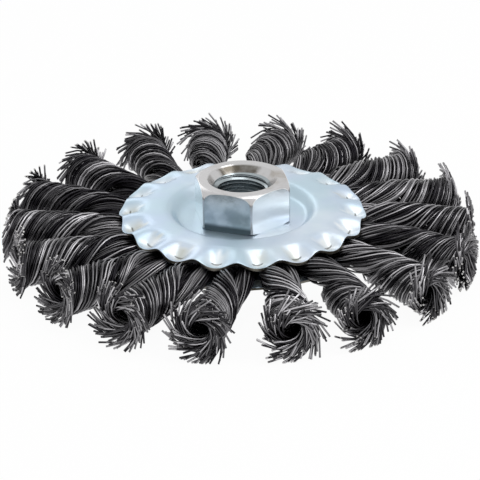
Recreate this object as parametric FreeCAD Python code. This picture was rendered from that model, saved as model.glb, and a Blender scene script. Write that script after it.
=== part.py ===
import FreeCAD
import Part
import math
import os

# Twisted-knot wire wheel brush for a threaded angle-grinder spindle.
# Millimetres and degrees. The axis of the wheel is Z, and while a piece is drawn
# its height is counted from the brush's mid-plane. The finished pieces are lifted
# by rest_height, so that the knots stand on Z = 0.

# Knots of wire
knot_count = 18
tip_radius = 59.0          # from the wheel's axis to the flat of each knot's frayed end
tip_half_width = 7.6       # half the width of a knot's frayed end
body_half_width = 5.0      # half the width of a knot where its strands are one round bundle
rim_half_width = 4.3       # half the breadth over both strands where they leave the plates
rim_half_height = 2.4      # half the height of a strand there
throat_half_width = 3.15   # half the width of a knot beside the retaining ring
throat_run = 1.4           # how far past the ring's edge the knot's body starts
strand_offset = 2.1        # from the knot's axis to the middle of each strand at the rim
strand_merge_run = 17.0    # from the bend's corner out to where the strands are one bundle
strand_merge_start = 0.3   # share of that run after which the strands close up
strand_groove_radius = 1.5 # how near the knot's axis the groove between the strands comes
fray_length = 6.5          # over which the wires splay to the frayed end
fray_edge = 0.5            # straight edge of the frayed end
tip_trail = 7.0            # how far each frayed end trails its root round the wheel
lean_start_radius = 29.5   # where the knot bends from radial to its lean
lean_reach = 3.5           # how far each side of that corner the bend takes
root_twist_rate = 5.0      # degrees of twist per millimetre at the plates' rim
twist_gain = 0.1           # how fast the twist tightens towards the tip
twist_growth = 0.0095
section_points = 16
funnel_radius = 3.4        # mouth of the hollow in the frayed end
funnel_bottom_radius = 0.8
funnel_depth = 9.0
funnel_overrun = 1.0       # how far the cutting cone stands out of the mouth

# Wire loop through the retaining ring
loop_half_width = 2.1      # half the width of the flattened bundle
loop_half_thickness = 1.15
loop_clearance = 0.05      # between the bundle and the ring's faces
loop_seat_offset = 0.55    # how far the bundle is pulled out from the hole's middle
loop_bend_radius = 2.0
leg_dip_angle = 25.0       # slope at which the two legs close into the knot
leg_dip_radius = 5.0
leg_dip_start = 0.4        # past the ring's edge
leg_end_inset = 3.6        # how far the legs run inside the knot's body

# Retaining ring
ring_radius = 22.8
ring_half_thickness = 1.7
ring_hole_circle_radius = 19.0
ring_hole_radius = 2.3
ring_hole_chamfer = 0.4
ring_bore_clearance = 0.1

# Face plates, pressed from sheet
sheet_thickness = 0.8
recess_floor_radius = 15.9
recess_wall_reach = 2.7    # how far outward the sloped wall of the recess runs
crown_height = 2.45        # rise of the plate's flat ring above its recess floor
crown_edge_fall = 0.15     # from the flat ring down to the top of the recess wall
crown_edge_reach = 1.0     # over which it falls
crown_outer_radius = 24.6
rim_radius_at_lobe = 31.1
rim_radius_at_arch = 30.3
arch_drop_at_rim = 0.7     # fall of the plate over a knot, from its flat ring to the rim
crease_drop = 2.65         # fall of the plate between two knots, from its flat ring
lip_rise = 0.6             # from the crease between two knots out to the rim
crease_radius = 28.3
plate_bore_clearance = 0.1

# Hub nut with its riveted collar
nut_across_flats = 22.0
nut_height = 10.25
nut_turn = 3.0             # how far a corner of the hexagon is turned past +Y
nut_corner_cut = 0.2       # turned off each of the six corners
nut_chamfer_angle = 25.0
nut_chamfer_inset = 0.15   # from the six flats to the edge of the turned top
nut_shoulder_reach = 0.8   # rounded shoulder between the chamfer and the turned corners
nut_shoulder_height = 2.4  # of the chamfer and the shoulder
nut_foot_chamfer = 0.9     # width of the chamfer round the foot
thread_minor_radius = 5.92     # M14 x 2
countersink_top_radius = 8.7
countersink_foot_radius = 6.9
collar_radius = 8.7
rivet_radius = 10.4
rivet_edge_radius = 9.6
rivet_height = 1.6
collar_overlap = 1.0       # how far the collar is drawn up into the hexagon

sector = 360.0 / knot_count
rest_height = tip_half_width
floor_height = ring_half_thickness + sheet_thickness       # outer face of a recess floor
crown_top = floor_height + crown_height
ring_bore_radius = collar_radius + ring_bore_clearance
plate_bore_radius = collar_radius + plate_bore_clearance
points_per_wave = 6
axis_z = FreeCAD.Vector(0, 0, 1)


def vec(x, y, z):
    return FreeCAD.Vector(x, y, z)


def closed_curve(points):
    """A smooth closed edge through the points."""
    curve = Part.BSplineCurve()
    curve.interpolate(Points=points, PeriodicFlag=True)
    return curve.toShape()


def section(centre, across, up, radius_at):
    """Control points of a closed section, radius_at(angle) from centre, from up to across."""
    step = 2 * math.pi / section_points
    swell = 3 / (2 + math.cos(step))    # a cubic spline runs inside its points
    points = []
    for i in range(section_points):
        angle = step * i
        radius = swell * radius_at(angle)
        points.append(centre + up * (radius * math.cos(angle)) + across * (radius * math.sin(angle)))
    return points


def tube(sections):
    """Solid with a smooth skin over the sections, closed by a flat end at each end."""
    around = len(sections[0])
    along = len(sections)
    poles = [[points[i] for points in sections] for i in range(around)]
    skin = Part.BSplineSurface()
    skin.buildFromPolesMultsKnots(
        poles,
        [1] * (around + 1),
        [4] + [1] * (along - 4) + [4],
        [float(i) for i in range(around + 1)],
        [float(i) for i in range(along - 2)],
        True, False, 3, 3)
    first = skin.vIso(0.0).toShape()
    last = skin.vIso(along - 3.0).toShape()
    faces = [skin.toShape(), Part.Face(Part.Wire([first])), Part.Face(Part.Wire([last]))]
    shell = Part.makeShell(faces)
    shell.sewShape()
    solid = Part.makeSolid(shell)
    if solid.Volume < 0:
        solid.reverse()
    return solid


# Knots

def knot_corner():
    """Corner of the bend between a knot's radial root, on +X, and its leaning body."""
    return vec(lean_start_radius, 0, 0)


def knot_reach():
    """Vector from that corner to the middle of the frayed end."""
    trail = math.radians(-tip_trail)
    return vec(tip_radius * math.cos(trail), tip_radius * math.sin(trail), 0) - knot_corner()


def point_on_axis(run):
    """Point and direction of a knot's axis, run millimetres out from its bend's corner."""
    corner = knot_corner()
    lean = knot_reach().normalize()
    radial = vec(1, 0, 0)
    if run <= -lean_reach:
        return corner + radial * run, radial
    if run >= lean_reach:
        return corner + lean * run, lean
    share = (run + lean_reach) / (2 * lean_reach)
    start = corner - radial * lean_reach
    end = corner + lean * lean_reach
    point = start * (1 - share) ** 2 + corner * (2 * share * (1 - share)) + end * share ** 2
    direction = radial * (1 - share) + lean * share
    return point, direction.normalize()


def smooth_step(share):
    share = min(max(share, 0.0), 1.0)
    return share * share * (3 - 2 * share)


def knot_twist(run):
    """Angle of the two strands, a quarter turn from upright at the plates' rim."""
    out = max(run, 0.0)
    return 90.0 + root_twist_rate * run + twist_gain * out ** 2 + twist_growth * out ** 3


def between(first, last, share):
    return first + (last - first) * share


def throat_section(share):
    """Offset, half thickness and half height of the strands, from the ring to the plates' rim."""
    outer = between(throat_half_width, rim_half_width, share)
    offset = strand_offset * share
    return offset, outer - offset, between(throat_half_width, rim_half_height, share)


def body_section(share):
    """The same from the rim to where both strands are one round bundle."""
    outer = between(rim_half_width, body_half_width, share)
    merged = smooth_step((share - strand_merge_start) / (1 - strand_merge_start))
    offset = strand_offset * (1 - merged)
    return offset, outer - offset, between(rim_half_height, body_half_width, smooth_step(share))


def fray_section(share):
    """The same over the frayed end, whose wires run straight on from the twist."""
    width = math.sqrt(between(body_half_width ** 2, tip_half_width ** 2, share ** 2))
    return 0.0, width, width


def knot_sections():
    """Each section's distance out from the bend's corner, and its strands."""
    length = knot_reach().Length
    throat = ring_radius + throat_run - lean_start_radius
    fray = length - fray_length
    sections = []
    for share in (0.0, 0.5):
        sections.append((throat * (1 - share), throat_section(share)))
    for share in (0.0, 0.125, 0.25, 0.375, 0.5, 0.625, 0.75, 0.875, 1.0):
        sections.append((strand_merge_run * share, body_section(share)))
    for share in (0.35, 0.7, 1.0):
        sections.append((between(strand_merge_run, fray, share), fray_section(0.0)))
    for share in (0.25, 0.5, 0.75):
        sections.append((fray + (fray_length - fray_edge) * share, fray_section(share)))
    sections.append((length - fray_edge, fray_section(1.0)))
    sections.append((length, fray_section(1.0)))
    return sections


def strand_radius(angle, offset, thick, high):
    """From the knot's axis to the skin of two oval strands, at an angle from their line."""
    along = abs(math.cos(angle))
    aside = math.sin(angle)
    a = (along / thick) ** 2 + (aside / high) ** 2
    b = along * offset / thick ** 2
    c = (offset / thick) ** 2 - 1
    reach = b * b - a * c
    if reach < 0:                       # the direction passes between the strands
        return strand_groove_radius
    return max((b + math.sqrt(reach)) / a, strand_groove_radius)


def knot_body():
    """Two strands twisted left-handed, from the ring out to the frayed end."""
    sections = []
    for run, strands in knot_sections():
        centre, along = point_on_axis(run)
        across = along.cross(axis_z)
        turn = math.radians(-knot_twist(run))

        def radius_at(angle, strands=strands, turn=turn):
            return strand_radius(angle - turn, *strands)

        sections.append(section(centre, across, axis_z, radius_at))
    return tube(sections)


def funnel():
    """The hollow between the splayed wire ends."""
    bottom, along = point_on_axis(knot_reach().Length - funnel_depth)
    slope = (funnel_radius - funnel_bottom_radius) / funnel_depth
    mouth_radius = funnel_radius + slope * funnel_overrun
    return Part.makeCone(funnel_bottom_radius, mouth_radius, funnel_depth + funnel_overrun, bottom, along)


def wire_loop():
    """The hairpin of the bundle: down through the ring's hole, out above and below it."""
    leg_height = ring_half_thickness + loop_clearance + loop_half_thickness
    hole_x = ring_hole_circle_radius + loop_seat_offset
    bend_x = hole_x + loop_bend_radius
    bend_z = leg_height - loop_bend_radius
    dip_x = ring_radius + leg_dip_start
    dip_z = leg_height - leg_dip_radius
    upper = [(hole_x, bend_z)]
    upper.append(on_arc(bend_x, bend_z, loop_bend_radius, 135))
    upper.append((bend_x, leg_height))
    upper.append((dip_x, leg_height))
    upper.append(on_arc(dip_x, dip_z, leg_dip_radius, 90 - leg_dip_angle / 2))
    upper.append(on_arc(dip_x, dip_z, leg_dip_radius, 90 - leg_dip_angle))
    slope = math.radians(leg_dip_angle)
    end_x = upper[-1][0] + leg_end_inset * math.cos(slope)
    end_z = upper[-1][1] - leg_end_inset * math.sin(slope)
    upper.append((end_x, end_z))
    edges = leg_edges(upper, 1)
    middle = Part.LineSegment(vec(hole_x, 0, -bend_z), vec(hole_x, 0, bend_z)).toShape()
    path = Part.Wire(list(reversed(leg_edges(upper, -1))) + [middle] + edges)
    across = vec(0, 1, 0)
    outward = vec(math.sin(slope), 0, -math.cos(slope))
    start = vec(end_x, 0, -end_z)
    bundle = Part.Ellipse(start + across * loop_half_width, start + outward * loop_half_thickness, start)
    return path.makePipeShell([Part.Wire([bundle.toShape()])], True, False)


def on_arc(x, z, radius, angle):
    """A point of the circle round x, z, with the angle counted up from outward."""
    return x + radius * math.cos(math.radians(angle)), z + radius * math.sin(math.radians(angle))


def leg_edges(points, side):
    """Bend, leg, dip and last run of the loop, above the ring or, with side -1, below it."""
    spots = [vec(x, 0, side * z) for x, z in points]
    edges = [
        Part.Arc(spots[0], spots[1], spots[2]),
        Part.LineSegment(spots[2], spots[3]),
        Part.Arc(spots[3], spots[4], spots[5]),
        Part.LineSegment(spots[5], spots[6]),
    ]
    return [edge.toShape() for edge in edges]


def make_knot():
    return knot_body().cut(funnel()).fuse(wire_loop())


# Retaining ring

def retaining_ring():
    """Disc with one chamfered hole for each knot."""
    foot = vec(0, 0, -ring_half_thickness)
    height = 2 * ring_half_thickness
    ring = Part.makeCylinder(ring_radius, height, foot)
    ring = ring.cut(Part.makeCylinder(ring_bore_radius, height, foot))
    holes = []
    for i in range(knot_count):
        place = vec(ring_hole_circle_radius, 0, -ring_half_thickness)
        hole = Part.makeCylinder(ring_hole_radius, height, place)
        hole.rotate(vec(0, 0, 0), axis_z, sector * i)
        holes.append(hole)
    ring = ring.cut(holes)
    edges = [e for e in ring.Edges if is_circle_of(e, ring_hole_radius)]
    return ring.makeChamfer(ring_hole_chamfer, edges)


def is_circle_of(edge, radius):
    return isinstance(edge.Curve, Part.Circle) and abs(edge.Curve.Radius - radius) < 1e-6


# Face plates

def wave(angle):
    """1 over a knot, 0 half-way between two knots."""
    return 0.5 + 0.5 * math.cos(knot_count * angle)


def plate_ring(arch_radius, arch_height, lobe_radius, lobe_height):
    """Closed curve round the plate, through its place over each knot and between knots."""
    if arch_radius == lobe_radius and arch_height == lobe_height:
        return Part.Circle(vec(0, 0, arch_height), axis_z, arch_radius).toShape()
    points = []
    steps = knot_count * points_per_wave
    for i in range(steps):
        angle = 2 * math.pi * i / steps
        share = wave(angle)
        radius = lobe_radius + (arch_radius - lobe_radius) * share
        height = lobe_height + (arch_height - lobe_height) * share
        points.append(vec(radius * math.cos(angle), radius * math.sin(angle), height))
    return closed_curve(points)


def plate_stations():
    """Radius and height over a knot, then between knots, of the plate's outer face."""
    wall_top_radius = recess_floor_radius + recess_wall_reach
    wall_top = crown_top - crown_edge_fall
    crown_start = wall_top_radius + crown_edge_reach
    crimp_start = crown_outer_radius
    crimp_run = crease_radius - crimp_start
    arch_rim = crown_top - arch_drop_at_rim
    arch_run = rim_radius_at_arch - crimp_start
    crease_height = crown_top - crease_drop

    def arch(share):
        return crimp_start + arch_run * share, crown_top - arch_drop_at_rim * share ** 2

    return [
        (plate_bore_radius, floor_height, plate_bore_radius, floor_height),
        (recess_floor_radius, floor_height, recess_floor_radius, floor_height),
        (wall_top_radius, wall_top, wall_top_radius, wall_top),
        (crown_start, crown_top, crown_start, crown_top),
        (crimp_start, crown_top, crimp_start, crown_top),
        (*arch(0.3), crimp_start + 0.35 * crimp_run, crown_top - 0.3 * crease_drop),
        (*arch(0.5), crimp_start + 0.7 * crimp_run, crown_top - 0.75 * crease_drop),
        (*arch(0.7), crease_radius, crease_height),
        (rim_radius_at_arch, arch_rim, rim_radius_at_lobe, crease_height + lip_rise),
    ]


def top_plate():
    """Dished sheet with a recess for the nut, arched over each knot and crimped between."""
    upper = plate_stations()
    lower = [(ar, az - sheet_thickness, lr, lz - sheet_thickness) for ar, az, lr, lz in reversed(upper)]
    rings = [plate_ring(*station) for station in upper + lower]
    faces = []
    for i in range(len(rings)):
        faces.append(Part.makeRuledSurface(rings[i - 1], rings[i]))
    shell = Part.makeShell(faces)
    shell.sewShape()
    return Part.makeSolid(shell)


# Hub nut

def bar_radius():
    """From the axis to a corner of the hexagon bar before it is turned."""
    return nut_across_flats / 2 / math.cos(math.radians(30))


def nut_envelope(foot, top):
    """What turning the nut's top, chamfer, shoulder, corners and foot leaves of the bar."""
    rise = math.tan(math.radians(nut_chamfer_angle))
    corner_radius = bar_radius() - nut_corner_cut
    foot_radius = corner_radius - nut_foot_chamfer
    top_radius = nut_across_flats / 2 - nut_chamfer_inset
    shoulder_radius = corner_radius - nut_shoulder_reach
    shoulder_top = top - (shoulder_radius - top_radius) * rise
    shoulder_foot = top - nut_shoulder_height
    profile = [
        (shoulder_radius, shoulder_top),
        (top_radius, top),
        (0, top),
        (0, foot),
        (foot_radius, foot),
        (corner_radius, foot + nut_foot_chamfer * rise),
        (corner_radius, shoulder_foot),
    ]
    points = [vec(radius, 0, height) for radius, height in profile]
    climb = shoulder_top - shoulder_foot
    bend = (nut_shoulder_reach ** 2 + climb ** 2) / (2 * nut_shoulder_reach)
    sweep = math.degrees(math.asin(climb / bend))
    middle_x, middle_z = on_arc(corner_radius - bend, shoulder_foot, bend, sweep / 2)
    shoulder = Part.Arc(points[-1], vec(middle_x, 0, middle_z), points[0]).toShape()
    outline = Part.Wire(Part.makePolygon(points).Edges + [shoulder])
    return Part.Face(outline).revolve(vec(0, 0, 0), axis_z, 360)


def hub_nut():
    """Hexagon nut with a collar through the plates, riveted over below them."""
    foot = floor_height
    top = foot + nut_height
    corners = []
    for i in range(7):
        angle = math.radians(30 + nut_turn + 60 * i)
        corners.append(vec(bar_radius() * math.cos(angle), bar_radius() * math.sin(angle), foot))
    hexagon = Part.Face(Part.makePolygon(corners)).extrude(vec(0, 0, nut_height))
    rivet_top = -floor_height
    bottom = rivet_top - rivet_height
    collar = revolved([
        (0, foot + collar_overlap),
        (collar_radius, foot + collar_overlap),
        (collar_radius, rivet_top),
        (rivet_radius, rivet_top),
        (rivet_edge_radius, bottom),
        (0, bottom),
    ])
    bore = revolved([
        (0, bottom),
        (countersink_foot_radius, bottom),
        (thread_minor_radius, bottom + countersink_foot_radius - thread_minor_radius),
        (thread_minor_radius, top - countersink_top_radius + thread_minor_radius),
        (countersink_top_radius, top),
        (0, top),
    ])
    return hexagon.common(nut_envelope(foot, top)).fuse(collar).cut(bore).removeSplitter()


def revolved(profile):
    """Solid of revolution from radius and height pairs."""
    points = [vec(radius, 0, height) for radius, height in profile]
    points.append(points[0])
    return Part.Face(Part.makePolygon(points)).revolve(vec(0, 0, 0), axis_z, 360)


# All pieces

def all_nodes():
    plate = top_plate()
    lower_plate = plate.copy()
    lower_plate.rotate(vec(0, 0, 0), vec(1, 0, 0), 180)
    nodes = {
        "top_face_plate": plate,
        "bottom_face_plate": lower_plate,
        "wire_retaining_ring": retaining_ring(),
        "hub_nut": hub_nut(),
    }
    knot = make_knot()
    for i in range(knot_count):
        turned = knot.copy()
        turned.rotate(vec(0, 0, 0), axis_z, sector * i)
        nodes["wire_knot_%02d" % (i + 1)] = turned
    return nodes


os.makedirs("parts", exist_ok=True)
for name, shape in all_nodes().items():
    shape.translate(vec(0, 0, rest_height))
    print(name, shape.ShapeType, len(shape.Faces), round(shape.Volume, 1), shape.isValid())
    shape.exportStep(os.path.join("parts", name + ".step"))
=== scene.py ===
import math
import random
import bpy
from mathutils import Matrix, Vector


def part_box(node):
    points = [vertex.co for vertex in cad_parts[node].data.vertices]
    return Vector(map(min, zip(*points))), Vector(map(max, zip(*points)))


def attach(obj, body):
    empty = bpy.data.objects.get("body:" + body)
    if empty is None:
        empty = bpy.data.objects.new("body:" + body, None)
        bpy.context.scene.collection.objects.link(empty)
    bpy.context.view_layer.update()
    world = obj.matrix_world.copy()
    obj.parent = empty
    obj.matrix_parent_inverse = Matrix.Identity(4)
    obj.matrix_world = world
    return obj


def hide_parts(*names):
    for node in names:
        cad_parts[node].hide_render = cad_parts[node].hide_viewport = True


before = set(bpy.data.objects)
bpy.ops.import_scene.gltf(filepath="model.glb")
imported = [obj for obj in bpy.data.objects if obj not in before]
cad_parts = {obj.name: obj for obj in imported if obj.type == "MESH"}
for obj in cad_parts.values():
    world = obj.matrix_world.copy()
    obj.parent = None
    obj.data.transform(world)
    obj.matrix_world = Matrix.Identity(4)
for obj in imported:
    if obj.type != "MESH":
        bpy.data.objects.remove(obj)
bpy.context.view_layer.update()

# the dicts of the pieces give millimetres and degrees, and heights from the mid-plane
mm = 0.001
ringLow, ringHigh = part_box("wire_retaining_ring")
midPlane = (ringLow.z + ringHigh.z) / 2          # the brush's middle, level with its knots' axes
upZ = Vector((0, 0, 1))


# Selecting, transforming and joining

def deselectAll():
    if bpy.context.object and bpy.context.object.mode != "OBJECT":
        bpy.ops.object.mode_set(mode="OBJECT")
    bpy.ops.object.select_all(action="DESELECT")


def makeActive(piece):
    deselectAll()
    piece.select_set(True)
    bpy.context.view_layer.objects.active = piece


def applyModifier(piece, kind, **settings):
    makeActive(piece)
    modifier = piece.modifiers.new(kind.lower(), kind)
    for name, value in settings.items():
        setattr(modifier, name, value)
    bpy.ops.object.modifier_apply(modifier=modifier.name)


def combine(piece, other, operation):
    applyModifier(piece, "BOOLEAN", operation=operation, solver="EXACT", object=other)
    bpy.data.objects.remove(other)


def selectVertices(piece, test):
    bpy.ops.object.mode_set(mode="EDIT")
    bpy.ops.mesh.select_mode(type="VERT")
    bpy.ops.mesh.select_all(action="DESELECT")
    bpy.ops.object.mode_set(mode="OBJECT")
    for vertex in piece.data.vertices:
        vertex.select = test(vertex.co)
    bpy.ops.object.mode_set(mode="EDIT")
    bpy.ops.mesh.select_mode(type="VERT")


def moveSelected(dz):
    bpy.ops.transform.translate(value=(0, 0, dz * mm))


def spreadSelected(share):
    bpy.ops.transform.resize(value=(share, share, 1), center_override=(0, 0, 0))


def drawRings(name, rings, segments):
    # an open skin, left in edit mode: each ring of radius and height is extruded from the last
    deselectAll()
    radius, height = rings[0]
    bpy.ops.mesh.primitive_circle_add(
        vertices=segments, radius=radius * mm, location=(0, 0, height * mm))
    bpy.ops.object.transform_apply(location=True)
    piece = bpy.context.object
    piece.name = name
    bpy.ops.object.mode_set(mode="EDIT")
    bpy.ops.mesh.select_all(action="SELECT")
    for newRadius, newHeight in rings[1:]:
        rise = (0, 0, (newHeight - height) * mm)
        bpy.ops.mesh.extrude_region_move(TRANSFORM_OT_translate={"value": rise})
        spreadSelected(newRadius / radius)
        radius, height = newRadius, newHeight
    return piece


def turned(name, rings, segments, closed=False):
    # a turned solid, or a closed ring of that section
    piece = drawRings(name, rings, segments)
    bpy.ops.mesh.select_all(action="DESELECT")
    bpy.ops.mesh.select_non_manifold()
    if closed:
        bpy.ops.mesh.bridge_edge_loops()
    else:
        bpy.ops.mesh.fill_holes(sides=0)
    bpy.ops.mesh.select_all(action="SELECT")
    bpy.ops.mesh.normals_make_consistent(inside=False)
    bpy.ops.object.mode_set(mode="OBJECT")
    return piece


def finishPiece(piece, slot, material, *nodes):
    # lifts a piece drawn round the mid-plane into its place and ties it to the frame
    makeActive(piece)
    piece.location.z = midPlane
    bpy.ops.object.transform_apply(location=True)
    if not piece.data.materials:
        piece.data.materials.append(material)
    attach(piece, "root")
    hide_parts(*nodes)


# Materials

class Shade:
    # a socket that can be added, multiplied and so on; sheet is the material it belongs to

    def __init__(self, sheet, socket):
        self.sheet = sheet
        self.socket = socket

    def maths(self, operation, first, second, **settings):
        return self.sheet.node("Math", {"operation": operation, **settings}, {0: first, 1: second})

    def __add__(self, other):
        return self.maths("ADD", self, other)

    def __radd__(self, other):
        return self.maths("ADD", other, self)

    def __sub__(self, other):
        return self.maths("SUBTRACT", self, other)

    def __rsub__(self, other):
        return self.maths("SUBTRACT", other, self)

    def __mul__(self, other):
        return self.maths("MULTIPLY", self, other)

    def __rmul__(self, other):
        return self.maths("MULTIPLY", other, self)

    def clamped(self):
        return self.maths("ADD", self, 0.0, use_clamp=True)

    def size(self):
        return self.maths("ABSOLUTE", self, 0.0)

    def larger(self, other):
        return self.maths("MAXIMUM", self, other)

    def between(self, low, high):
        # 0 below low, 1 above high and a smooth rise from one to the other
        inputs = {"Value": self, "From Min": low, "From Max": high}
        return self.sheet.node("MapRange", {"interpolation_type": "SMOOTHSTEP"}, inputs)


class Sheet:
    # one material's nodes

    def __init__(self, name):
        self.material = bpy.data.materials.new(name)
        self.material.use_nodes = True
        self.tree = self.material.node_tree
        self.tree.nodes.clear()

    def node(self, kind, settings=None, inputs=None, output=0):
        made = self.tree.nodes.new("ShaderNode" + kind)
        for name, value in (settings or {}).items():
            setattr(made, name, value)
        for name, value in (inputs or {}).items():
            if isinstance(value, Shade):
                self.tree.links.new(value.socket, made.inputs[name])
            else:
                made.inputs[name].default_value = value
        return Shade(self, made.outputs[output])

    def place(self):
        return self.node("TexCoord", output="Object")

    def sides(self):
        # the three coordinates, in metres
        return [self.node("SeparateXYZ", None, {"Vector": self.place()}, axis) for axis in "XYZ"]

    def reach(self):
        # distance from the middle of the brush
        return self.node("VectorMath", {"operation": "LENGTH"}, {0: self.place()}, "Value")

    def attribute(self, name):
        return self.node("Attribute", {"attribute_name": name}, None, "Fac")

    def noise(self, scale, detail):
        inputs = {"Vector": self.place(), "Scale": scale, "Detail": detail}
        return self.node("TexNoise", None, inputs)

    def mixed(self, share, first, second):
        inputs = {"Factor": share, "A": first, "B": second}
        return self.node("Mix", {"data_type": "RGBA"}, inputs, "Result")

    def bump(self, height, distance, strength):
        inputs = {"Height": height, "Distance": distance, "Strength": strength}
        return self.node("Bump", None, inputs, "Normal")

    def metal(self, base, metallic, rough, **others):
        inputs = {"Base Color": base, "Metallic": metallic, "Roughness": rough, **others}
        return self.finish(self.node("BsdfPrincipled", None, inputs, "BSDF"))

    def finish(self, shader):
        end = self.tree.nodes.new("ShaderNodeOutputMaterial")
        self.tree.links.new(shader.socket, end.inputs["Surface"])
        return self.material


finishes = {
    "wireDark": (0.012, 0.011, 0.014),
    "wireLight": (0.55, 0.54, 0.56),
    "wireRoughness": 0.3,
    "cutEnd": (0.78, 0.77, 0.75),
    "cutDull": (0.35, 0.345, 0.34),
    "zincSheet": (0.44, 0.57, 0.68),
    "zincViolet": (0.48, 0.55, 0.68),
    "zincGreen": (0.46, 0.58, 0.63),
    "zincPale": (0.86, 0.88, 0.88),
    "zincOliveShade": (0.45, 0.47, 0.42),
    "sheetRoughness": 0.38,
    "sheetDarkShade": (0.05, 0.045, 0.035),
    "edgeLight": (0.20, 0.19, 0.165),
    "nutTurned": (0.52, 0.515, 0.52),
    "nutWarm": (0.34, 0.315, 0.28),
    "nutDarkReflection": (0.10, 0.09, 0.075),
    "nutBore": (0.34, 0.38, 0.40),
    "nutFlat": (0.80, 0.82, 0.82),
    "nutFlatPale": (0.92, 0.92, 0.92),
    "nutFrontShade": (0.33, 0.37, 0.385),
    "nutShaded": (0.075, 0.09, 0.095),
    "nutRoughness": 0.22,
    "ring": (0.42, 0.43, 0.45),
    "ringDull": (0.3, 0.3, 0.31),
    "floor": (0.95, 0.95, 0.95),
    "white": (1, 1, 1),
}


def tint(name):
    return (*finishes[name], 1.0)


def roughAround(middle, reach, noise):
    # a roughness that a noise takes up to reach either side of its middle
    return middle - reach + 2 * reach * noise


def wireMaterial():
    sheet = Sheet("springWire")
    tone = sheet.attribute("wireTone")
    smudge = sheet.noise(scale=160, detail=1)
    # painted highlight: the wires are lightened a little towards their tips
    tipHighlight = 0.05 * sheet.reach().between(54 * mm, 58 * mm)
    share = (0.85 * tone + 0.2 * smudge - 0.11 + tipHighlight).clamped()
    base = sheet.mixed(share, tint("wireDark"), tint("wireLight"))
    return sheet.metal(base, 0.95, roughAround(finishes["wireRoughness"], 0.08, smudge))


def cutMaterial():
    sheet = Sheet("cutSteel")
    grain = sheet.noise(scale=3000, detail=2)
    base = sheet.mixed(grain, tint("cutDull"), tint("cutEnd"))
    return sheet.metal(base, 0.2, 0.4)


def sheetMaterial():
    sheet = Sheet("zincSheet")
    cloud = sheet.noise(scale=70, detail=3)
    patch = sheet.noise(scale=170, detail=4)
    fine = sheet.noise(scale=900, detail=4)
    sheen = sheet.mixed(cloud.between(0.35, 0.65), tint("zincGreen"), tint("zincViolet"))
    base = sheet.mixed(0.45, sheen, tint("zincSheet"))
    bloom = sheet.noise(scale=45, detail=5).between(0.42, 0.7)
    base = sheet.mixed(0.35 * bloom, base, tint("zincPale"))
    # painted highlight: the crimps' pockets are lightened towards pale zinc
    pocketHighlight = sheet.attribute("pocket")
    base = sheet.mixed(0.75 * pocketHighlight, base, tint("zincPale"))
    # painted shade: olive patches over the pockets, placed by a noise
    pocketShade = pocketHighlight * sheet.noise(scale=95, detail=1).between(0.5, 0.6)
    base = sheet.mixed(0.75 * pocketShade, base, tint("zincOliveShade"))
    # painted shade: a dark line along each crimp's fold
    fold = sheet.attribute("fold").between(0.55, 1.0)
    base = sheet.mixed(0.8 * fold, base, tint("sheetDarkShade"))
    rough = roughAround(finishes["sheetRoughness"], 0.08, patch)
    normal = sheet.bump(0.75 * patch + 0.25 * fine, 0.12 * mm, 0.6)
    return sheet.metal(base, 0.85, rough, Normal=normal)


def edgeMaterial():
    sheet = Sheet("sheetEdge")
    # the bare cut edge, dark as bare steel and darker still as painted shade from the sheet's
    # underside
    patch = sheet.noise(scale=260, detail=3)
    base = sheet.mixed(patch.between(0.4, 0.65), tint("sheetDarkShade"), tint("edgeLight"))
    return sheet.metal(base, 0.9, 0.4)


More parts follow.
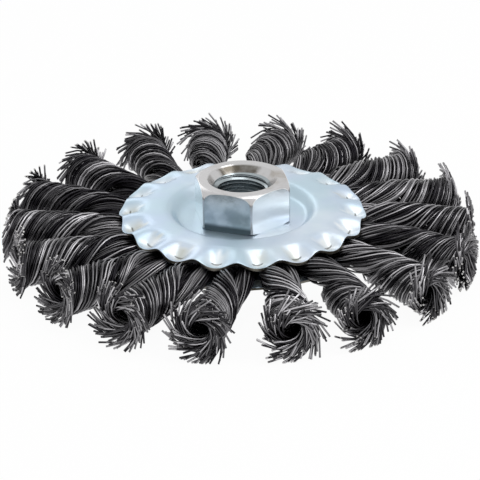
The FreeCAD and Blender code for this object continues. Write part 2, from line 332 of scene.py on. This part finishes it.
def nutMaterial():
    sheet = Sheet("zincNut")
    x, y, z = sheet.sides()
    flats = []
    for i in range(3):
        angle = math.radians(nut["turn"] + 60 * i)
        flats.append(math.cos(angle) * x + math.sin(angle) * y)
    reach = flats[0].size().larger(flats[1].size()).larger(flats[2].size())
    edge = nut["acrossFlats"] / 2 * mm
    # the hexagon's flats, the front one of them, painted darker as a painted reflection, and the
    # painted shade along its foot
    flat = reach.between(edge - 0.1 * mm, edge - 0.04 * mm)
    front = (-1 * flats[1]).between(edge - 0.5 * mm, edge - 0.1 * mm)
    foot = midPlane + nut["foot"] * mm
    shaded = front * (1 - z.between(foot + 1.2 * mm, foot + 2.4 * mm))
    cloud = sheet.noise(scale=120, detail=3)
    wide = sheet.noise(scale=60, detail=2)
    fine = sheet.noise(scale=1500, detail=3)
    reflectionNoise = sheet.noise(scale=420, detail=4)
    spread = sheet.node("VectorMath", {"operation": "MULTIPLY"}, {0: sheet.place(), 1: (1, 1, 0)})
    radius = sheet.node("VectorMath", {"operation": "LENGTH"}, {0: spread}, "Value")
    # the countersink and the bore, then two painted dark reflections in the countersink
    cone = 1 - radius.between((nut["countersinkTop"] - 0.4) * mm, nut["countersinkTop"] * mm)
    bore = 1 - radius.between(nut["major"] * mm, (nut["major"] + 0.1) * mm)
    warm = cloud.between(0.5, 0.72)
    lathed = sheet.mixed(warm, tint("nutTurned"), tint("nutWarm"))
    # painted reflection: a dark patch at the back of the countersink
    dark = cone * (y - 0.5 * x.size() + 3 * mm * reflectionNoise).between(4 * mm, 6 * mm)
    lathed = sheet.mixed(dark * (0.4 + reflectionNoise), lathed, tint("nutDarkReflection"))
    # painted reflection: a dark patch on the countersink's left side
    side = cone * (-1 * x - 0.9 * (y - 2.5 * mm).size()).between(5.5 * mm, 7.5 * mm)
    lathed = sheet.mixed(0.55 * side, lathed, tint("nutDarkReflection"))
    lathed = sheet.mixed(bore, lathed, tint("nutBore"))
    plated = sheet.mixed(wide.between(0.4, 0.6), tint("nutFlat"), tint("nutFlatPale"))
    mottle = sheet.noise(scale=210, detail=3).between(0.4, 0.7)
    # painted reflection: the front flat is painted darker and patchy
    frontShadeMottle = sheet.mixed(mottle, tint("nutFrontShade"), tint("nutFlat"))
    plated = sheet.mixed(front, plated, sheet.mixed(0.4, tint("nutFrontShade"), frontShadeMottle))
    # painted shade along the front flat's foot
    plated = sheet.mixed(shaded, plated, tint("nutShaded"))
    base = sheet.mixed(flat, lathed, plated)
    rough = roughAround(finishes["nutRoughness"], 0.05, fine)
    normal = sheet.bump(0.6 * cloud + 0.4 * fine, 0.08 * mm, 0.5)
    return sheet.metal(base, 1.0, rough, Normal=normal)


def ringMaterial():
    sheet = Sheet("ringSteel")
    fine = sheet.noise(scale=700, detail=4)
    base = sheet.mixed(fine, tint("ring"), tint("ringDull"))
    return sheet.metal(base, 1.0, 0.45)


# Wire knots

knots = {
    "count": 18,
    "hairpins": 58,              # wires folded through each hole, two ends each
    "wireRadius": 0.235,
    "tipRadius": 59.0,           # from the wheel's middle to the middle of a knot's frayed face
    "trimRadius": 59.1,          # no wire is longer than this
    "tipTrail": 7.0,             # degrees that a tip lags behind its root
    "leanStart": 29.5,           # corner of the bend between the radius and the lean
    "leanReach": 3.5,            # length of the bend, each side of its corner
    "floorClear": 0.27,          # lowest a wire's middle may lie above the ground
    "topReach": 9.6,             # highest it may lie above the mid-plane
    "tipDroop": 1.6,             # how far the tips' middles lie below the mid-plane
    "tipTilt": (0.8, 1.2),       # how much more on the right and at the back
    "tipTurns": {                # degrees that a knot's tip lies off its even place, where it shows
        5: -1.2, 6: -1.1, 7: -3.0, 8: -2.0, 14: -0.4, 15: 1.1, 16: -0.7, 17: 0.5},
    "tipReaches": {9: 0.5, 10: 1.0, 11: 0.7},      # how much longer a knot is than the others
    "holeX": 19.55,              # distance of the fold's innermost wires from the wheel's middle
    "bendRadius": 2.0,           # of the fold's upper and lower bend
    "bendAngles": (110, 135, 160),      # where each bend has its points
    "legHeight": 2.9,            # of a strand's middle beside the fold
    "foldThick": 1.15,           # half thickness and half width of the fold
    "foldWide": 2.0,
    "rootRun": -6.3,             # where the strands leave the fold; runs start at the bend's corner
    "twistStart": -6.9,          # the quick turn that lays the strands side by side
    "twistEnd": -2.5,
    "twistTurn": 77.5,
    "twistRates": (90, 5, 0.1, 0.0095),      # degrees, and their rise with the run's powers
    "strandShape": [             # run, offset, half thickness outward and half width of one strand
        (-6.3, 2.9, 1.15, 2.1),
        (-4.5, 2.4, 1.5, 2.0),
        (-2.5, 2.2, 2.1, 1.8),
        (0.0, 2.35, 2.2, 2.2),
        (3.0, 2.3, 2.4, 3.1),
        (8.0, 2.0, 2.6, 3.9),
        (14.0, 2.0, 2.6, 4.1)],
    "strandsEnd": 6.0,           # from here the two strands merge round one hollow core
    "bodyStart": 17.0,           # up to here
    "bodyShape": [               # run, core radius and outer radius
        (5.0, 0.4, 5.0), (10.0, 1.2, 5.2), (18.0, 1.9, 5.4), (23.0, 2.0, 5.5), (27.0, 2.1, 5.7)],
    "swayStart": 10,             # run at which the wires sway in full
    "leaveRun": 27.6,            # where the wires leave the twist and splay
    "leaveGap": 0.5,             # no other point of the wire lies closer to that
    "rimBack": 0.25,             # share of the splay that the outer wires' ends lie behind
    "slant": 0.3,                # how far the upper ends lie back, for each millimetre of height
    "upperSpread": 0.12,         # how much further the upper ends stand out than the lower ones
    "shortShare": 0.1,           # share of the wires that are cut or broken short
    "stepRun": 1.65,             # longest step between two points of a wire
    "stepTurn": 23.0,            # most degrees of twist in one step
    "tailSteps": 4,              # points on the free end
    "faceInner": 4.8,            # the frayed face's ring of wire ends
    "faceOuter": 9.3,
    "weld": 0.01,                # points closer than this are one
    "toneBias": 2.8,             # 1 gives as many light wires as dark ones, more gives fewer
    "seed": 100,
}

# lowest and highest value of each random draw, for a wire or for a whole knot
draws = {
    "knotTurn": (-6, 6),
    "knotTwist": (0.96, 1.04),
    "spotRadius": (-0.05, 0.05),
    "twist": (0.993, 1.007),
    "turn": (-1.5, 1.5),
    "sway": (0.0, 0.14),
    "rate": (0.25, 0.45),
    "phase": (0, 2 * math.pi),
    "leave": (-0.8, 0.6),
    "depth": (-0.22, 0.22),
    "curl": (1.2, 1.5),
    "length": (0.82, 1.0),
    "shortLength": (0.6, 0.85),
    "lean": (-0.3, 0.3),
}


def drawn(draw, name):
    return draw.uniform(*draws[name])


def between(table, run):
    # the row of a table at a place between two of its stations
    for low, high in zip(table, table[1:]):
        if run <= high[0]:
            break
    share = min(max((run - low[0]) / (high[0] - low[0]), 0.0), 1.0)
    return [a + (b - a) * share for a, b in zip(low[1:], high[1:])]


def smoothStep(share):
    share = min(max(share, 0.0), 1.0)
    return share * share * (3 - 2 * share)


def knotAxis():
    # corner of the knot's bend, direction of its lean and length out to its tip
    trail = math.radians(-knots["tipTrail"])
    tip = Vector((math.cos(trail), math.sin(trail), 0)) * knots["tipRadius"]
    corner = Vector((knots["leanStart"], 0, 0))
    return corner, (tip - corner).normalized(), (tip - corner).length


axisCorner, axisLean, axisLength = knotAxis()


def axisPoint(run):
    radial = Vector((1, 0, 0))
    reach = knots["leanReach"]
    if run <= -reach:
        return axisCorner + radial * run, radial
    if run >= reach:
        return axisCorner + axisLean * run, axisLean
    share = (run + reach) / (2 * reach)
    start = axisCorner - radial * reach
    end = axisCorner + axisLean * reach
    point = start * (1 - share) ** 2 + axisCorner * (2 * share * (1 - share)) + end * share ** 2
    return point, (radial * (1 - share) + axisLean * share).normalized()


def twistAt(run):
    # degrees that the strands have turned, left-handed, from one above the other
    start, end = knots["twistStart"], knots["twistEnd"]
    if run < end:
        return knots["twistTurn"] * smoothStep((run - start) / (end - start))
    base, rate, square, cube = knots["twistRates"]
    out = max(run, 0)
    return base + rate * run + square * out ** 2 + cube * out ** 3


def ovalSpot(run, spot):
    # a wire's place in its own strand: away from the knot's axis and aside
    offset, halfThick, halfWide = between(knots["strandShape"], run)
    return offset + halfThick * spot[1], halfWide * spot[0]


def ringSpot(run, spot):
    # its place in the half ring that the strand fills further out
    inner, outer = between(knots["bodyShape"], run)
    edge = math.sqrt(max(1 - spot[0] ** 2, 0.01))
    angle = spot[0] * edge + math.asin(spot[0])
    depth = min(max(0.5 + 0.5 * spot[1] / edge, 0.0), 1.0)
    radius = math.sqrt(inner ** 2 + (outer ** 2 - inner ** 2) * depth)
    return radius * math.cos(angle), radius * math.sin(angle)


def wirePlace(run, side, spot, wander):
    # middle of one wire of the upper (side 1) or lower (side -1) strand
    middle, along = axisPoint(run)
    across = along.cross(upZ)
    turn = math.radians(-twistAt(run) * wander["twist"] - wander["turn"])
    outward = upZ * math.cos(turn) + across * math.sin(turn)
    sideways = across * math.cos(turn) - upZ * math.sin(turn)
    start = knots["strandsEnd"]
    share = smoothStep((run - start) / (knots["bodyStart"] - start))
    oval = ovalSpot(run, spot)
    ring = ringSpot(run, spot)
    away = oval[0] + (ring[0] - oval[0]) * share
    aside = oval[1] + (ring[1] - oval[1]) * share
    sway = wander["sway"] * smoothStep(run / knots["swayStart"])
    away += sway * math.sin(run * wander["rate"] + wander["phase"])
    aside += sway * math.cos(run * wander["rate"] + wander["phase"])
    return middle + outward * (away * side) + sideways * aside


def loopPlaces(spot):
    # the hairpin of one wire through the ring's hole, from the upper leg down to the lower
    radius = knots["bendRadius"]
    bendX = knots["holeX"] + radius
    bendZ = knots["legHeight"] - radius
    away = knots["foldThick"] * spot[1]
    aside = knots["foldWide"] * spot[0]
    places = []
    for angle in knots["bendAngles"]:
        a = math.radians(angle)
        centre = Vector((bendX + radius * math.cos(a), 0, bendZ + radius * math.sin(a)))
        outward = Vector((math.cos(a), 0, math.sin(a)))
        places.append(centre + outward * away + Vector((0, aside, 0)))
    middle = Vector((knots["holeX"] - away, aside, 0))
    below = [Vector((p.x, p.y, -p.z)) for p in reversed(places)]
    return places + [middle] + below


def tailPlaces(side, spot, wander, draw):
    # the free end: straight on from the twist and out to its place in the frayed face
    leave = knots["leaveRun"] + drawn(draw, "leave")
    here = wirePlace(leave, side, spot, wander)
    middle, along = axisPoint(leave)
    outward = here - middle
    radius = outward.length
    outward.normalize()
    around = outward.cross(along)
    inner, outer = between(knots["bodyShape"], leave)
    depth = (radius ** 2 - inner ** 2) / (outer ** 2 - inner ** 2)
    depth = min(max(depth + drawn(draw, "depth"), 0.0), 1.0)
    faceInner, faceOuter = knots["faceInner"], knots["faceOuter"]
    goal = math.sqrt(faceInner ** 2 + (faceOuter ** 2 - faceInner ** 2) * depth)
    sweep = math.sqrt(max(goal ** 2 - radius ** 2, 1.0))
    curl = drawn(draw, "curl")
    reach = (axisLength + wander["extra"] - leave) * (1 - knots["rimBack"] * depth)
    length = drawn(draw, "length")
    if draw.random() < knots["shortShare"]:
        length *= drawn(draw, "shortLength")
    lean = drawn(draw, "lean")
    places = []
    for i in range(1, knots["tailSteps"] + 1):
        share = length * i / knots["tailSteps"]
        angle = math.atan(sweep * share / radius) * curl
        spread = math.hypot(radius, sweep * share)
        place = outward * (spread * math.cos(angle)) + around * (spread * math.sin(angle))
        place.z += knots["upperSpread"] * max(place.z, 0) * share
        ahead = reach * share - knots["slant"] * place.z * share ** 2
        places.append(middle + along * ahead + place + around * (lean * share))
    over = places[-1].xy.length - knots["trimRadius"] - wander["extra"]
    if over > 0:
        inward = (middle + along * reach).normalized()
        for i, place in enumerate(places):
            places[i] = place - inward * (over * (i + 1) / len(places))
    return leave, here, places


def strandPlaces(side, spot, wander, draw):
    leave, here, tail = tailPlaces(side, spot, wander, draw)
    places = []
    run = knots["rootRun"]
    while run < leave - knots["leaveGap"]:
        places.append(wirePlace(run, side, spot, wander))
        rate = twistAt(run + 0.5) - twistAt(run - 0.5)
        run += min(knots["stepRun"], knots["stepTurn"] / max(rate, 1))
    return places + [here] + tail


def bundleSpots(count, draw):
    # places of the wires over a strand's section, spread evenly over a disc by the golden angle
    spots = []
    for i in range(count):
        angle = i * math.radians(137.508)
        radius = math.sqrt((i + 0.5) / count) + drawn(draw, "spotRadius")
        radius = min(radius, 0.99)
        spots.append((radius * math.cos(angle), radius * math.sin(angle)))
    return spots


def pointOf(place, evenTurn, tipTurn):
    # the curve's point for a place in the first knot, turned to another knot and drooped
    out = smoothStep((place.xy.length - knots["leanStart"]) / axisLength)
    moved = Matrix.Rotation(math.radians(evenTurn + tipTurn * out), 3, "Z") @ place
    tiltX, tiltY = knots["tipTilt"]
    tilt = (tiltX * moved.x + tiltY * moved.y) / knots["tipRadius"]
    rise = moved.z - out * (knots["tipDroop"] + tilt)
    z = max(min(rise, knots["topReach"]) + midPlane / mm, knots["floorClear"])
    return moved.x * mm, moved.y * mm, z * mm, 1


def wireKnot(index):
    draw = random.Random(knots["seed"] + index)
    curve = bpy.data.curves.new("wires", "CURVE")
    curve.dimensions = "3D"
    curve.bevel_depth = knots["wireRadius"] * mm
    curve.bevel_resolution = 1
    curve.use_fill_caps = True
    curve.resolution_u = 1
    evenTurn = 360 / knots["count"] * (index - 1)
    tipTurn = knots["tipTurns"].get(index, 0)
    knotTurn = drawn(draw, "knotTurn")
    knotTwist = drawn(draw, "knotTwist")
    for spot in bundleSpots(knots["hairpins"], draw):
        ends = []
        for side in (1, -1):
            wander = {
                "twist": knotTwist * drawn(draw, "twist"),
                "turn": knotTurn + drawn(draw, "turn"),
                "sway": drawn(draw, "sway"),
                "rate": drawn(draw, "rate"),
                "phase": drawn(draw, "phase"),
                "extra": knots["tipReaches"].get(index, 0),
            }
            ends.append(strandPlaces(side, spot, wander, draw))
        places = list(reversed(ends[0])) + loopPlaces(spot) + ends[1]
        spline = curve.splines.new("NURBS")
        spline.points.add(len(places) - 1)
        for point, place in zip(spline.points, places):
            point.co = pointOf(place, evenTurn, tipTurn)
        spline.order_u = 4
        spline.use_endpoint_u = True
    wires = bpy.data.objects.new("wireKnot%02d" % index, curve)
    bpy.context.scene.collection.objects.link(wires)
    makeActive(wires)
    bpy.ops.object.convert(target="MESH")
    return bpy.context.object


def wireOf(mesh):
    # for each vertex, a number that all the vertices of its wire share
    parent = list(range(len(mesh.vertices)))

    def topOf(vertex):
        while parent[vertex] != vertex:
            parent[vertex] = parent[parent[vertex]]
            vertex = parent[vertex]
        return vertex

    for edge in mesh.edges:
        first, second = edge.vertices
        parent[topOf(first)] = topOf(second)
    return [topOf(vertex) for vertex in range(len(parent))]


def toneWires(piece, draw):
    # one tone for each wire, and the cut steel on its two ends
    makeActive(piece)
    bpy.ops.object.mode_set(mode="EDIT")
    bpy.ops.mesh.select_all(action="SELECT")
    bpy.ops.mesh.remove_doubles(threshold=knots["weld"] * mm)
    bpy.ops.mesh.normals_make_consistent(inside=False)
    bpy.ops.object.mode_set(mode="OBJECT")
    mesh = piece.data
    tone = {}
    values = []
    for wire in wireOf(mesh):
        if wire not in tone:
            tone[wire] = draw.random() ** knots["toneBias"]
        values.append(tone[wire])
    tones = mesh.attributes.new("wireTone", "FLOAT", "POINT")
    tones.data.foreach_set("value", values)
    for face in mesh.polygons:
        if face.loop_total == 3:
            face.material_index = 1
            face.use_smooth = False


# Face plates

plate = {
    "segments": 162,             # nine for each knot, so that each crimp has the same corners
    "thickness": 0.8,
    "rings": [                   # radius and height over a knot, outward from the bore
        (8.8, 2.5), (11.5, 2.5), (15.0, 2.5), (15.9, 2.52), (16.4, 2.8), (17.7, 4.3), (18.4, 4.8),
        (19.2, 4.93), (21.5, 4.95), (24.2, 4.95), (25.3, 4.93), (26.4, 4.88), (27.4, 4.8),
        (28.3, 4.7), (29.2, 4.55), (30.2, 4.3)],
    # fall of the outer rings, from the middle of a crimp to the knot beside it
    "crimp": {
        10: (0.6, 0.6, 0.45, 0.12, 0.0),
        11: (1.2, 1.2, 0.85, 0.25, 0.02),
        12: (1.8, 1.8, 1.05, 0.35, 0.05),
        13: (2.4, 2.35, 1.15, 0.45, 0.08),
        14: (2.2, 2.1, 1.3, 0.55, 0.1),
        15: (1.4, 1.35, 1.1, 0.65, 0.15)},
    # radius of the rim over the same five places
    "rim": (31.05, 30.95, 30.65, 30.35, 30.2),
    "creases": {9: (4, 0.45), 13: (1, 1.0)},      # ring: how far from a crimp's middle, sharpness
    "foldRing": 13,              # painted shade along the crimp's fold
    "pocketRing": 10,            # painted highlight from here out, most in a crimp's middle
    "pocketFade": 0.35,
    "rimBare": 0.1,              # none of it this near to the rim
    "ringNear": 0.05,            # how far a corner may lie from the ring it is taken for
    "edgeBevel": 0.14,
    "edgeAngle": 60,
}


def crimpPlace(spot):
    # how many corners a place lies from the middle of the nearest crimp
    pitch = 360 / knots["count"]
    angle = math.degrees(math.atan2(spot.y, spot.x)) - pitch / 2
    offset = abs((angle + pitch / 2) % pitch - pitch / 2)
    return round(offset * plate["segments"] / 360)


def onRing(spot, radius):
    return abs(spot.xy.length - radius * mm) < plate["ringNear"] * mm


def selectCorners(piece, radius, first, last):
    # the corners of one ring that lie first to last places from a crimp's middle
    selectVertices(piece, lambda spot: onRing(spot, radius) and first <= crimpPlace(spot) <= last)


def facePlate():
    rings = plate["rings"]
    piece = drawRings("topPlate", rings, plate["segments"])
    for ring, falls in plate["crimp"].items():
        for place, fall in enumerate(falls):
            selectCorners(piece, rings[ring][0], place, place)
            moveSelected(-fall)
    lastRadius = rings[-1][0]
    for place, radius in enumerate(plate["rim"]):
        selectCorners(piece, lastRadius, place, place)
        spreadSelected(radius / lastRadius)
    for ring, (reach, sharpness) in plate["creases"].items():
        selectCorners(piece, rings[ring][0], 0, reach)
        bpy.ops.transform.edge_crease(value=sharpness)
    bpy.ops.mesh.select_all(action="SELECT")
    bpy.ops.mesh.normals_make_consistent(inside=False)
    bpy.ops.object.mode_set(mode="OBJECT")
    if piece.data.polygons[0].normal.z < 0:
        piece.data.flip_normals()
    markPaintedLight(piece)
    piece.data.materials.append(zincSheet)
    piece.data.materials.append(sheetEdge)
    applyModifier(piece, "SOLIDIFY", thickness=plate["thickness"] * mm, offset=-1,
                  use_even_offset=True, material_offset_rim=1)
    applyModifier(piece, "BEVEL", width=plate["edgeBevel"] * mm, segments=2,
                  limit_method="ANGLE", angle_limit=math.radians(plate["edgeAngle"]))
    applyModifier(piece, "SUBSURF", levels=1, render_levels=1)
    bpy.ops.object.shade_smooth()
    return piece


def markPaintedLight(piece):
    # painted shade along the fold of each crimp and a painted highlight on the pocket behind it
    fold = piece.data.attributes.new("fold", "FLOAT", "POINT")
    pocket = piece.data.attributes.new("pocket", "FLOAT", "POINT")
    foldRadius = plate["rings"][plate["foldRing"]][0]
    low = plate["rings"][plate["pocketRing"]][0] * mm
    high = (plate["rings"][-1][0] - plate["rimBare"]) * mm
    for vertex, foldShade, pocketLight in zip(piece.data.vertices, fold.data, pocket.data):
        away = crimpPlace(vertex.co)
        foldShade.value = 1.0 if onRing(vertex.co, foldRadius) and away <= 1 else 0.0
        if low < vertex.co.xy.length < high:
            pocketLight.value = max(1 - plate["pocketFade"] * away, 0.0)


# Hub nut

nut = {
    "acrossFlats": 22.0,
    "foot": 2.5,
    "top": 12.75,
    "turn": 3.0,                 # how far a corner of the hexagon is turned past +Y
    "cornerCut": 0.2,            # turned off each corner
    "barLength": 14,             # before its ends are turned off
    "chamferAngle": 25.0,
    "chamferInset": 0.15,
    "shoulderReach": 0.8,        # the round between the corners and the chamfer
    "shoulderHeight": 2.4,
    "shoulderSteps": 8,
    "footChamfer": 0.9,
    "edgeBevel": 0.18,
    "bevelAngle": 24,
    "smoothAngle": 28,
    "flatArea": 20,              # faces larger than this are shaded flat
    "collar": 8.7,               # radius, then its top inside the hexagon
    "collarTop": 3.0,
    "rivet": [(10.4, -2.5), (10.4, -3.1), (10.1, -3.7), (9.5, -4.1)],
    "major": 7.0,                # radii of the thread's wall and crest
    "minor": 6.1,
    "pitch": 2.0,
    "flankAngle": 30,
    "ridgeRoot": 0.2,            # how far the drawn ridge reaches into the wall
    "ridgeCrest": 0.12,          # and past the crest, where it is cut off
    "ridgeSkim": 0.04,           # how far it stays back from both countersinks
    "ridgeSteps": 64,
    "countersinkTop": 8.7,
    "countersinkFoot": 6.9,
    "segments": 96,
    "envelopeSegments": 180,
}


def barRadius():
    return nut["acrossFlats"] / 2 / math.cos(math.radians(30))


def nutEnvelope():
    # what turning the foot, the corners, the shoulder, the chamfer and the top leaves of the bar
    foot, top = nut["foot"], nut["top"]
    rise = math.tan(math.radians(nut["chamferAngle"]))
    corner = barRadius() - nut["cornerCut"]
    topRadius = nut["acrossFlats"] / 2 - nut["chamferInset"]
    shoulderTop = top - (corner - nut["shoulderReach"] - topRadius) * rise
    shoulderFoot = top - nut["shoulderHeight"]
    climb = shoulderTop - shoulderFoot
    bend = (nut["shoulderReach"] ** 2 + climb ** 2) / (2 * nut["shoulderReach"])
    rings = [(corner - nut["footChamfer"], foot), (corner, foot + nut["footChamfer"] * rise)]
    for i in range(nut["shoulderSteps"] + 1):
        angle = math.asin(climb / bend) * i / nut["shoulderSteps"]
        radius = corner - bend + bend * math.cos(angle)
        rings.append((radius, shoulderFoot + bend * math.sin(angle)))
    return turned("envelope", rings + [(topRadius, top)], nut["envelopeSegments"])


def hubNut():
    foot = nut["rivet"][-1][1]
    top = nut["top"]
    middle = (nut["foot"] + top) / 2
    deselectAll()
    bpy.ops.mesh.primitive_cylinder_add(
        vertices=6, radius=barRadius() * mm, depth=nut["barLength"] * mm,
        location=(0, 0, middle * mm), rotation=(0, 0, math.radians(nut["turn"])))
    piece = bpy.context.object
    piece.name = "hubNut"
    bpy.ops.object.transform_apply(location=True, rotation=True)
    combine(piece, nutEnvelope(), "INTERSECT")
    neck = [(nut["collar"], nut["collarTop"]), (nut["collar"], nut["rivet"][0][1])]
    combine(piece, turned("collar", neck + nut["rivet"], nut["segments"]), "UNION")
    applyModifier(piece, "BEVEL", width=nut["edgeBevel"] * mm, segments=2,
                  limit_method="ANGLE", angle_limit=math.radians(nut["bevelAngle"]))
    major = nut["major"]
    bore = turned("bore", [
        (major, foot - 1),
        (major, top - (nut["countersinkTop"] - major)),
        (nut["countersinkTop"] + 1, top + 1)], nut["segments"])
    combine(piece, bore, "DIFFERENCE")
    combine(piece, threadRidge(foot, top), "UNION")
    makeActive(piece)
    bpy.ops.object.shade_smooth_by_angle(angle=math.radians(nut["smoothAngle"]))
    for face in piece.data.polygons:
        if face.area > nut["flatArea"] * mm * mm:
            face.use_smooth = False
    return piece


def threadRidge(foot, top):
    # the ridge of the right-handed thread, wound up the bore and cut off at both countersinks
    pitch = nut["pitch"]
    outer = nut["major"] + nut["ridgeRoot"]
    inner = nut["minor"] - nut["ridgeCrest"]
    slope = math.tan(math.radians(nut["flankAngle"]))
    halfCrest = pitch / 8 - nut["ridgeCrest"] * slope
    middle = (inner + outer) / 2 * mm
    start = (foot - 1) * mm
    deselectAll()
    bpy.ops.mesh.primitive_plane_add(
        size=1, location=(middle, 0, start), rotation=(math.pi / 2, 0, 0))
    ridge = bpy.context.object
    ridge.scale = ((outer - inner) * mm, 2 * halfCrest * mm, 1)
    bpy.ops.object.transform_apply(location=True, rotation=True, scale=True)
    selectVertices(ridge, lambda spot: spot.x > middle)
    stretch = (halfCrest + (outer - inner) * slope) / halfCrest
    bpy.ops.transform.resize(value=(1, 1, stretch), center_override=(0, 0, start))
    bpy.ops.mesh.select_all(action="SELECT")
    bpy.ops.mesh.delete(type="ONLY_FACE")
    bpy.ops.object.mode_set(mode="OBJECT")
    turns = math.ceil((top - foot + 2) / pitch)
    steps = nut["ridgeSteps"]
    applyModifier(ridge, "SCREW", axis="Z", angle=2 * math.pi, screw_offset=pitch * mm,
                  iterations=turns, steps=steps, render_steps=steps, use_merge_vertices=False)
    bpy.ops.object.mode_set(mode="EDIT")
    bpy.ops.mesh.select_all(action="SELECT")
    bpy.ops.mesh.fill_holes(sides=4)
    bpy.ops.mesh.select_all(action="SELECT")
    bpy.ops.mesh.normals_make_consistent(inside=False)
    bpy.ops.object.mode_set(mode="OBJECT")
    skim = nut["ridgeSkim"]
    low = foot + nut["countersinkFoot"] + skim
    high = top - nut["countersinkTop"] - skim
    lip = nut["countersinkFoot"] - 0.05
    wall = outer + 0.1
    room = turned("threadRoom", [
        (nut["minor"], low - nut["minor"]),
        (lip, low - lip),
        (wall, low - lip),
        (wall, high + wall),
        (nut["minor"], high + nut["minor"])], nut["segments"], closed=True)
    combine(ridge, room, "INTERSECT")
    return ridge


# Camera, light and floor

view = {
    "azimuth": -7.0,
    "elevation": 25.84,
    "roll": -0.73,
    "distance": 532.76,          # in millimetres, as the target is, from the middle of the foot
    "target": (-0.68, 0.085, 3.2),
    "lens": 158.4,
    "sensor": 36,
    "clipStart": 0.01,
}


def placeCamera():
    azimuth, elevation = math.radians(view["azimuth"]), math.radians(view["elevation"])
    turn = Matrix.Rotation(azimuth, 4, "Z") @ Matrix.Rotation(math.pi / 2 - elevation, 4, "X")
    turn = turn @ Matrix.Rotation(math.radians(view["roll"]), 4, "Z")
    back = turn @ Vector((0, 0, 1))
    spot = Vector(view["target"]) + back * view["distance"]
    deselectAll()
    bpy.ops.object.camera_add(location=spot * mm, rotation=turn.to_euler())
    camera = bpy.context.object
    camera.data.lens = view["lens"]
    camera.data.sensor_width = view["sensor"]
    camera.data.clip_start = view["clipStart"]
    bpy.context.scene.camera = camera


studio = {
    "lampDistance": 0.55,        # in metres, as the other lengths here are
    "lampSize": 0.3,
    "lamps": [                   # name, direction of the lamp: azimuth and elevation, power
        ("keyLamp", 60, 50, 0.7),
        ("fillLamp", -50, 40, 0.2),
        ("topLamp", 100, 78, 0.4),
        ("backLamp", -165, 32, 0.2)],
    "worldLight": 0.6,           # strength of the world where it is not seen
    "floorSize": 6,
    "floorGlow": 0.95,           # share of plain white where the floor is seen
}


def placeLamps():
    for name, azimuth, elevation, power in studio["lamps"]:
        a, e = math.radians(azimuth), math.radians(elevation)
        back = Vector((math.sin(a) * math.cos(e), -math.cos(a) * math.cos(e), math.sin(e)))
        deselectAll()
        bpy.ops.object.light_add(type="AREA", location=back * studio["lampDistance"],
                                 rotation=back.to_track_quat("Z", "Y").to_euler())
        lamp = bpy.context.object
        lamp.name = name
        lamp.data.shape = "DISK"
        lamp.data.size = studio["lampSize"]
        lamp.data.energy = power


def lightWorld():
    # plain white where the camera, a reflection or glass sees it, and dimmer light elsewhere
    world = bpy.data.worlds.new("studio")
    bpy.context.scene.world = world
    world.use_nodes = True
    tree = world.node_tree
    background = tree.nodes["Background"]
    path = tree.nodes.new("ShaderNodeLightPath")
    seen = tree.nodes.new("ShaderNodeMath")
    seen.operation = "ADD"
    seen.use_clamp = True
    tree.links.new(path.outputs["Is Camera Ray"], seen.inputs[0])
    tree.links.new(path.outputs["Is Glossy Ray"], seen.inputs[1])
    direct = tree.nodes.new("ShaderNodeMath")
    direct.operation = "ADD"
    direct.use_clamp = True
    tree.links.new(seen.outputs[0], direct.inputs[0])
    tree.links.new(path.outputs["Is Transmission Ray"], direct.inputs[1])
    level = tree.nodes.new("ShaderNodeMapRange")
    level.inputs["To Min"].default_value = studio["worldLight"]
    level.inputs["To Max"].default_value = 1.0
    tree.links.new(direct.outputs[0], level.inputs["Value"])
    tree.links.new(level.outputs[0], background.inputs["Strength"])
    background.inputs["Color"].default_value = (1, 1, 1, 1)


def layFloor():
    # almost white where it is seen, with the brush's shadow showing through
    deselectAll()
    bpy.ops.mesh.primitive_plane_add(size=studio["floorSize"], location=(0, 0, 0))
    floor = bpy.context.object
    floor.name = "studioFloor"
    sheet = Sheet("paleFloor")
    diffuse = sheet.node("BsdfDiffuse", None, {"Color": tint("floor")}, "BSDF")
    white = sheet.node("Emission", None, {"Color": tint("white"), "Strength": 1.0}, "Emission")
    direct = sheet.node("LightPath", output="Is Camera Ray")
    for ray in ("Is Glossy Ray", "Is Transmission Ray"):
        direct = direct + sheet.node("LightPath", output=ray)
    share = studio["floorGlow"] * direct.clamped()
    shader = sheet.node("MixShader", None, {"Fac": share, 1: diffuse, 2: white}, "Shader")
    floor.data.materials.append(sheet.finish(shader))


print("materials")
wireSteel = wireMaterial()
cutSteel = cutMaterial()
zincSheet = sheetMaterial()
sheetEdge = edgeMaterial()
zincNut = nutMaterial()
ringSteel = ringMaterial()

print("retaining ring")
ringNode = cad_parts["wire_retaining_ring"]
ringNode.data.materials.clear()
ringNode.data.materials.append(ringSteel)

print("face plates")
topPlate = facePlate()
bottomPlate = topPlate.copy()
bottomPlate.data = topPlate.data.copy()
bottomPlate.name = "bottomPlate"
bpy.context.scene.collection.objects.link(bottomPlate)
makeActive(bottomPlate)
bottomPlate.rotation_euler.x = math.pi
bpy.ops.object.transform_apply(rotation=True)
finishPiece(topPlate, "zinc_sheet", zincSheet, "top_face_plate")
finishPiece(bottomPlate, "zinc_sheet", zincSheet, "bottom_face_plate")

print("hub nut")
finishPiece(hubNut(), "zinc_nut", zincNut, "hub_nut")

print("wire knots")
for index in range(1, knots["count"] + 1):
    wires = wireKnot(index)
    wires.data.materials.clear()
    wires.data.materials.append(wireSteel)
    wires.data.materials.append(cutSteel)
    toneWires(wires, random.Random(index))
    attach(wires, "root")
    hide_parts("wire_knot_%02d" % index)

print("camera and light")
placeCamera()
placeLamps()
lightWorld()
layFloor()
bpy.context.scene.view_settings.view_transform = "Standard"
